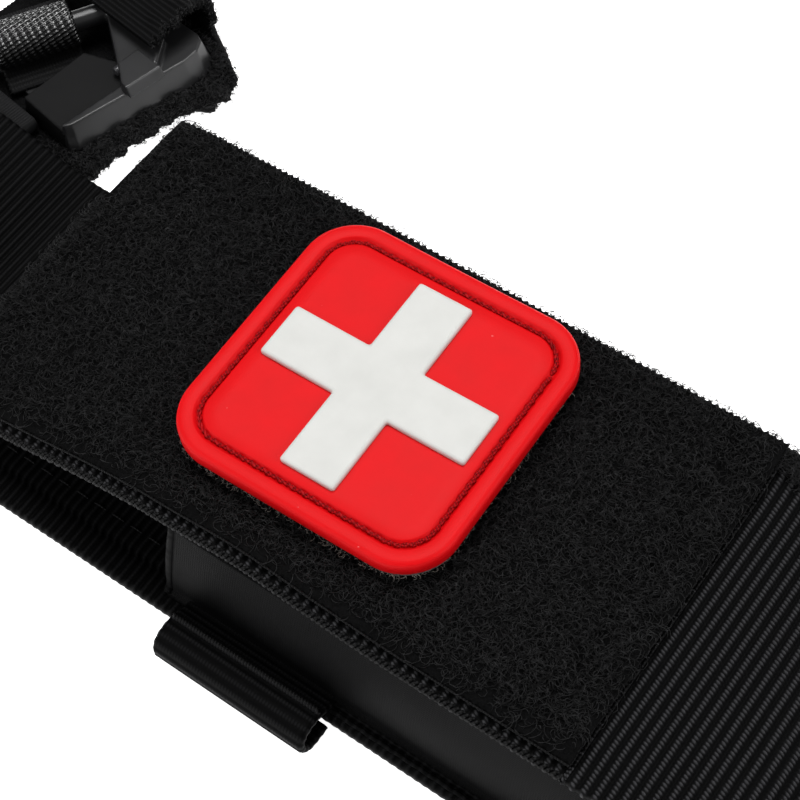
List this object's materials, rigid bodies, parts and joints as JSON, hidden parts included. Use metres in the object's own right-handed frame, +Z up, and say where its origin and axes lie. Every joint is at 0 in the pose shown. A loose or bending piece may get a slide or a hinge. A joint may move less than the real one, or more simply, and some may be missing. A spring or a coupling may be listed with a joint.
{
  "type": "strap tourniquet",
  "caption": "Webbing tourniquet with a windlass, a side buckle on a hook-and-loop band, and a flap-covered pouch with a peel-off first-aid patch.",
  "frame": {"origin": "on the underside of the base strap, on its centre line, below the patch's centre", "axes": "+X along the strap from the windlass towards the sewn end, +Y across the strap towards the side buckle, +Z up out of the flap"},
  "size_m": [0.3495, 0.0959, 0.0271],
  "materials": {
    "webbing": "ribbed nylon webbing",
    "webbing_fine": "fine ribbed webbing with a slight sheen",
    "loop_pile": "curly loop pile",
    "hook_tape": "stiff hook tape",
    "band_pile": "brushed hook-and-loop band",
    "gusset_fabric": "smooth plain-woven nylon",
    "thread": "bonded sewing thread",
    "ribbon": "smooth woven ribbon",
    "label": "matte writing tape, blank",
    "patch_red": "satin moulded soft plastic",
    "patch_white": "satin moulded soft plastic",
    "patch_hook": "pale hook backing with fuzz",
    "patch_thread": "red moulded stitch",
    "plastic": "satin moulded nylon",
    "metal": "black oxide steel"
  },
  "bodies": {
    "strap": {"main_strap": "webbing", "backing_strap": "webbing", "strap_end_fold": "webbing", "end_box_stitch": "thread", "edge_stitching": "thread", "limb_band": "band_pile", "buckle_strap": "webbing_fine", "buckle_roll": "webbing_fine", "gusset_near": "gusset_fabric", "gusset_far": "gusset_fabric", "gusset_end": "gusset_fabric", "pouch_floor": "gusset_fabric", "running_strap": "webbing_fine", "running_strap_tip": "webbing_fine", "pen_loop": "webbing", "top_webbing": "webbing", "top_box_stitch": "thread", "closure_hook": "hook_tape", "ribbon_sleeves": "webbing_fine", "inner_ribbon": "ribbon", "stabiliser_plate": "plastic", "ring_tether": "webbing", "time_label": "label"},
    "band_tail": {"band_end": "band_pile"},
    "buckle": {"buckle_frame": "plastic", "latch_pin": "metal"},
    "latch": {"buckle_latch": "plastic"},
    "flap": {"closure_loop": "loop_pile", "flap_webbing": "webbing", "loop_panel": "loop_pile", "flap_stitching": "thread"},
    "patch": {"patch_hook": "patch_hook", "patch_base": "patch_red", "patch_cross": "patch_white", "patch_stitching": "patch_thread"},
    "windlass": {"windlass_ribbon": "ribbon", "windlass_rod": "plastic", "rod_grips": "plastic"},
    "ring": {"tri_ring": "metal"}
  },
  "joints": [
    {"name": "flap_open", "type": "hinge", "parent": "strap", "child": "flap", "pos_m": [0.064, 0, 0.0208], "axis": [0, 1, 0], "range_deg": [0, 130]},
    {"name": "patch_peel", "type": "slide", "parent": "flap", "child": "patch", "axis": [0, 0, 1], "range_m": [0, 0.03]},
    {"name": "windlass_turn", "type": "hinge", "parent": "strap", "child": "windlass", "pos_m": [-0.163, 0, 0.018], "axis": [0, 0, 1], "continuous": true},
    {"name": "ring_flip", "type": "hinge", "parent": "strap", "child": "ring", "pos_m": [-0.101, 0, 0.0122], "axis": [0, -1, 0], "range_deg": [0, 130]},
    {"name": "buckle_tilt", "type": "hinge", "parent": "strap", "child": "buckle", "pos_m": [-0.0909, 0.03929, 0.0062], "axis": [-0.5446, -0.8387, 0], "range_deg": [0, 15]},
    {"name": "latch_lift", "type": "hinge", "parent": "buckle", "child": "latch", "pos_m": [-0.07597, 0.04149, 0.0066], "axis": [-0.1564, -0.9877, 0], "range_deg": [0, 40]},
    {"name": "band_peel", "type": "hinge", "parent": "strap", "child": "band_tail", "pos_m": [-0.0823, 0.06162, 0.00685], "axis": [-0.9877, 0.1564, 0], "range_deg": [0, 140]}
  ]
}
